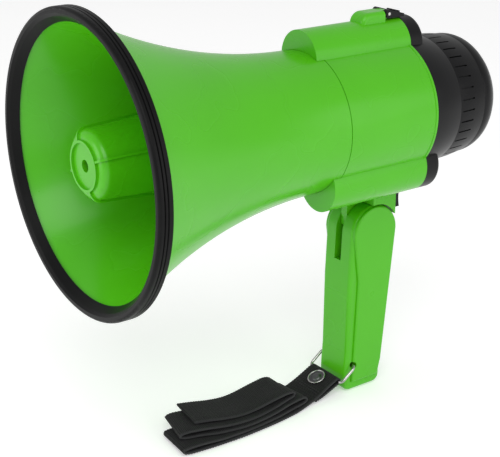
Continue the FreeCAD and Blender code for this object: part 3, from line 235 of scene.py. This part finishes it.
# ---------------------------------------------------------------- mesh helpers
def piece_from(name, vertices, faces, slot, body):
    """A smooth-shaded piece with one material that rides on one body."""
    mesh = bpy.data.meshes.new(name)
    mesh.from_pydata([tuple(v) for v in vertices], [], faces)
    mesh.validate()
    build = bmesh.new()
    build.from_mesh(mesh)
    bmesh.ops.recalc_face_normals(build, faces=build.faces)
    build.to_mesh(mesh)
    build.free()
    for face in mesh.polygons:
        face.use_smooth = True
    piece = bpy.data.objects.new(name, mesh)
    bpy.context.scene.collection.objects.link(piece)
    dress(piece, slot)
    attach(piece, body)
    return piece


def lathed(name, profile, centre, axis, slot, body, sides=48, closed=False):
    """A turned piece from (out along the axis, radius) corners; closed makes the profile a ring."""
    turn = Vector((0, 0, 1)).rotation_difference(Vector(axis)).to_matrix()
    vertices, faces = [], []
    for out, radius in profile:
        for k in range(sides):
            angle = 2 * math.pi * k / sides
            spot = Vector((radius * math.cos(angle), radius * math.sin(angle), out))
            vertices.append(Vector(centre) + turn @ spot)
    count = len(profile)
    for row in range(count if closed else count - 1):
        after = (row + 1) % count * sides
        for k in range(sides):
            turned = (k + 1) % sides
            faces.append((row * sides + k, row * sides + turned, after + turned, after + k))
    if not closed:
        faces.append(tuple(range(sides)))
        faces.append(tuple((count - 1) * sides + k for k in range(sides)))
    return piece_from(name, vertices, faces, slot, body)


# ---------------------------------------------------------------- wrist strap
def smooth_path(points, step):
    """Rows evenly spaced, by the length of their x, y, z, along a Catmull-Rom curve."""
    pieces_per_span = 40
    rows = [Vector(p) for p in points]
    rows = [rows[0] * 2 - rows[1]] + rows + [rows[-1] * 2 - rows[-2]]
    fine = []
    for a, b, c, d in zip(rows, rows[1:], rows[2:], rows[3:]):
        for k in range(pieces_per_span):
            t = k / pieces_per_span
            fine.append(0.5 * (2 * b + (c - a) * t + (2 * a - 5 * b + 4 * c - d) * t ** 2
                               + (3 * b - a - 3 * c + d) * t ** 3))
    fine.append(rows[-2])
    spaced, travelled, wanted = [fine[0]], 0.0, step
    for a, b in zip(fine, fine[1:]):
        length = (b.xyz - a.xyz).length
        while travelled + length >= wanted:
            spaced.append(a.lerp(b, (wanted - travelled) / length))
            wanted += step
        travelled += length
    return spaced


def tape(name, route, body):
    """A flat ribbon of webbing. route rows are x, y, z in mm and the turn of its width, in degrees."""
    step = RIB_PITCH / MM / 2
    path = smooth_path([Vector((x, y, z, turn)) for x, y, z, turn in route], step)
    across = [(-1.0, -0.35), (-0.96, -0.5), (-0.5, -0.5), (0.0, -0.5), (0.5, -0.5), (0.96, -0.5),
              (1.0, -0.35), (1.0, 0.35), (0.96, 0.5), (0.5, 0.5), (0.0, 0.5), (-0.5, 0.5),
              (-0.96, 0.5), (-1.0, 0.35)]
    vertices, faces, uvs = [], [], []
    sides = len(across)
    for k, row in enumerate(path):
        before, after = path[max(k - 1, 0)], path[min(k + 1, len(path) - 1)]
        ahead = (after.xyz - before.xyz).normalized()
        turn = math.radians(row.w)
        width = Vector((math.cos(turn), math.sin(turn), 0.0))
        width = (width - ahead * width.dot(ahead)).normalized()
        normal = width.cross(ahead)
        ripple = 0.05 * math.sin(k * 0.1) + 0.03 * math.sin(k * 0.27 + 1.0)
        rib = 1.0 if k % 2 else -1.0
        for side, depth in across:
            out = side * TAPE_WIDTH / 2
            if abs(side) > 0.9:
                out += math.copysign(RIB_RISE, side) * rib
            rise = depth * (TAPE_WALL + RIB_RISE * rib) + ripple * MM * side * side
            vertices.append(row.xyz * MM + width * out + normal * rise)
            uvs.append((side * TAPE_WIDTH / 2 + TAPE_WIDTH / 2, k * step * MM))
    for k in range(len(path) - 1):
        for j in range(sides):
            a, b = k * sides + j, k * sides + (j + 1) % sides
            faces.append((a, b, b + sides, a + sides))
    faces.append(tuple(range(sides)))
    faces.append(tuple((len(path) - 1) * sides + j for j in range(sides)))
    piece = piece_from(name, vertices, faces, "webbing", body)
    layer = piece.data.uv_layers.new(name="tape")
    for loop in piece.data.loops:
        layer.data[loop.index].uv = uvs[loop.vertex_index]
    return piece


# Where the tape runs: x, y, z in mm and the turn of its width from +X, in degrees.
STRAP_ROUTE = [
    (0.6, -38.0, 1.3, 0), (0.4, -33.0, 2.3, 0), (0.2, -28.0, 4.0, 0), (0, -23.6, 5.6, 0),
    (0, -20.2, 7.0, 0), (0, -18.5, 7.6, 0), (0, -17.8, 9.2, 0), (0, -18.8, 10.6, 0),
    (0, -21.4, 10.2, 0), (0.1, -26.0, 8.1, 0), (0.4, -32.0, 5.4, 2), (1.0, -38.0, 3.4, 6),
    (2.0, -45.0, 2.0, 9), (4.4, -58.0, 0.9, 9), (6.6, -77.0, 0.8, 5), (7.4, -96.0, 0.8, 0),
    (6.8, -112.0, 0.8, -4), (5.8, -126.0, 0.9, -5), (5.2, -132.6, 1.5, -5), (5.0, -134.0, 2.7, -5),
    (5.1, -132.4, 3.8, -4), (5.6, -124.0, 4.1, -3), (6.4, -108.0, 2.9, 0), (6.2, -90.0, 2.5, 4),
    (4.8, -72.0, 2.7, 7), (2.8, -58.0, 3.2, 8), (1.6, -50.0, 3.4, 7), (1.2, -46.6, 4.2, 6),
    (1.1, -45.6, 5.4, 6), (1.2, -46.8, 6.7, 6), (1.6, -50.0, 7.4, 6), (2.4, -58.0, 7.0, 5),
    (3.8, -74.0, 4.9, 3), (4.4, -90.0, 4.3, -2), (2.8, -106.0, 4.9, -8), (0.2, -117.0, 5.8, -11),
    (-1.8, -125.0, 6.0, -12), (-2.6, -128.4, 6.7, -12), (-2.8, -129.6, 7.8, -12),
    (-2.5, -128.2, 8.9, -12), (-1.6, -124.0, 9.4, -11), (0.0, -116.0, 9.0, -8),
    (1.6, -100.0, 6.8, -3), (2.0, -86.0, 6.0, 1), (1.4, -72.0, 6.9, 3), (0.6, -61.0, 8.8, 3),
    (0.2, -57.0, 9.4, 3), (0, -54.4, 10.0, 3), (-0.1, -53.6, 11.2, 3), (-0.2, -55.0, 12.3, 3),
    (-0.5, -59.0, 12.6, 3), (-1.2, -68.0, 11.0, 2), (-2.0, -84.0, 8.2, -1), (-2.8, -98.0, 8.9, -5),
    (-4.4, -111.0, 10.8, -7), (-5.6, -120.0, 11.8, -8),
]
strap = tape("strap_webbing", STRAP_ROUTE, "strap")
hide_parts("wrist_strap")


# ---------------------------------------------------------------- snap and stitches on the tab
TAB_SLOPE = math.radians(24.0)
TAB_UP = Vector((0.0, -math.sin(TAB_SLOPE), math.cos(TAB_SLOPE)))
SNAP_SPOT = Vector((0.0, -26.0, 8.1)) * MM + TAB_UP * (0.7 * MM)
snap = lathed("strap_snap", [
    (-0.1 * MM, 5.2 * MM), (0.4 * MM, 5.4 * MM), (0.8 * MM, 5.2 * MM), (0.95 * MM, 4.7 * MM),
    (0.75 * MM, 4.3 * MM), (0.7 * MM, 3.2 * MM), (1.0 * MM, 2.9 * MM), (1.5 * MM, 2.3 * MM),
    (1.7 * MM, 1.4 * MM), (1.75 * MM, 0.2 * MM),
], SNAP_SPOT, TAB_UP, "grille_mesh", "strap")


snap_ring = lathed("strap_snap_ring", [
    (0.3 * MM, 5.35 * MM), (0.7 * MM, 5.75 * MM), (1.15 * MM, 5.6 * MM), (1.3 * MM, 5.2 * MM),
    (1.15 * MM, 4.85 * MM), (0.8 * MM, 4.75 * MM),
], SNAP_SPOT, TAB_UP, "ring_steel", "strap", closed=True)


# One stitch: reach along it as a share of the pitch, and radius in mm.
THREAD = ((-0.42, 0.05), (-0.3, 0.2), (0.0, 0.26), (0.3, 0.2), (0.42, 0.05))
THREAD_SIDES = 6


def stitch_row(name, spot, along, count, pitch, body):
    """A row of short raised threads, each a small spindle lying on the tape."""
    vertices, faces = [], []
    side = along.cross(TAB_UP).normalized()
    for k in range(count):
        middle = spot + along * ((k - (count - 1) / 2) * pitch)
        start = len(vertices)
        for reach, radius in THREAD:
            for turn in range(THREAD_SIDES):
                angle = 2 * math.pi * turn / THREAD_SIDES
                vertices.append(middle + along * (reach * pitch) + (
                    side * math.cos(angle) + TAB_UP * math.sin(angle)) * (radius * MM))
        for ring in range(len(THREAD) - 1):
            first = start + ring * THREAD_SIDES
            for turn in range(THREAD_SIDES):
                a, b = first + turn, first + (turn + 1) % THREAD_SIDES
                faces.append((a, b, b + THREAD_SIDES, a + THREAD_SIDES))
        last = start + (len(THREAD) - 1) * THREAD_SIDES
        faces.append(tuple(range(start, start + THREAD_SIDES)))
        faces.append(tuple(range(last, last + THREAD_SIDES)))
    return piece_from(name, vertices, faces, "webbing", body)


stitches = [
    stitch_row("tab_stitches_%d" % k, Vector((0.4, y, z)) * MM + TAB_UP * (0.75 * MM),
               Vector((1.0, 0.0, 0.0)), 12, 1.8 * MM, "strap")
    for k, (y, z) in enumerate(((-33.0, 5.0), (-34.6, 4.35)))
]

# Each strap piece gets its own copy of its mesh.
for piece in [strap, snap, snap_ring] + stitches:
    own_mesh(piece)


# ---------------------------------------------------------------- camera, light and floor
CAMERA_AZIMUTH = math.radians(54.15)
CAMERA_ELEVATION = math.radians(20.93)
CAMERA_SPOT = (0.5178, -0.4513, 0.3631)
HORN_MIDDLE = Vector((0.0, -0.05, 0.15))
FLOOR_DROP = 0.4 * MM
FLOOR_HALF = 40.0


def camera_at_photo():
    """The photograph's view: from ahead of the mouth, to the horn's right and a little above."""
    azimuth, elevation = CAMERA_AZIMUTH, CAMERA_ELEVATION
    back = Vector((math.sin(azimuth) * math.cos(elevation),
                   -math.cos(azimuth) * math.cos(elevation), math.sin(elevation)))
    right = Vector((math.cos(azimuth), math.sin(azimuth), 0.0))
    above = back.cross(right)
    lens = bpy.data.cameras.new("camera")
    lens.lens = 87.5
    lens.sensor_width = 36.0
    lens.clip_start = 0.01
    camera = bpy.data.objects.new("camera", lens)
    turn = Matrix((right, above, back)).transposed().to_4x4()
    camera.matrix_world = Matrix.Translation(CAMERA_SPOT) @ turn
    bpy.context.scene.collection.objects.link(camera)
    bpy.context.scene.camera = camera


def soft_light(name, spot, size, watts):
    """A round lamp that faces the horn."""
    light = bpy.data.lights.new(name, "AREA")
    light.shape = "DISK"
    light.size = size
    light.energy = watts
    lamp = bpy.data.objects.new(name, light)
    lamp.location = spot
    lamp.rotation_euler = (HORN_MIDDLE - Vector(spot)).to_track_quat("-Z", "Y").to_euler()
    bpy.context.scene.collection.objects.link(lamp)


def studio():
    """White surroundings, three soft lamps and a plain pale floor."""
    world = bpy.data.worlds.new("studio")
    world.use_nodes = True
    background = world.node_tree.nodes["Background"]
    background.inputs["Color"].default_value = (1.0, 1.0, 1.0, 1.0)
    background.inputs["Strength"].default_value = 0.62
    bpy.context.scene.world = world
    bpy.context.scene.view_settings.view_transform = "Standard"
    soft_light("key", (0.9, -0.7, 1.3), 1.1, 9.0)
    soft_light("fill", (1.3, 0.5, 0.5), 1.2, 4.0)
    soft_light("front", (-0.3, -1.5, 0.4), 1.0, 6.0)
    build = bmesh.new()
    bmesh.ops.create_grid(build, x_segments=1, y_segments=1, size=FLOOR_HALF)
    mesh = bpy.data.meshes.new("floor")
    build.to_mesh(mesh)
    build.free()
    floor = bpy.data.objects.new("floor", mesh)
    floor.location.z = -FLOOR_DROP
    bpy.context.scene.collection.objects.link(floor)
    paint = Paint("floor_paper", Roughness=0.9, Emission_Strength=0.32,
                  Emission_Color=(1.0, 1.0, 1.0, 1.0))
    paint.colour(paint.mix(paint.noise(3.0), (0.86, 0.86, 0.86), (0.9, 0.9, 0.9)))
    floor.data.materials.append(paint.material)


camera_at_photo()
studio()
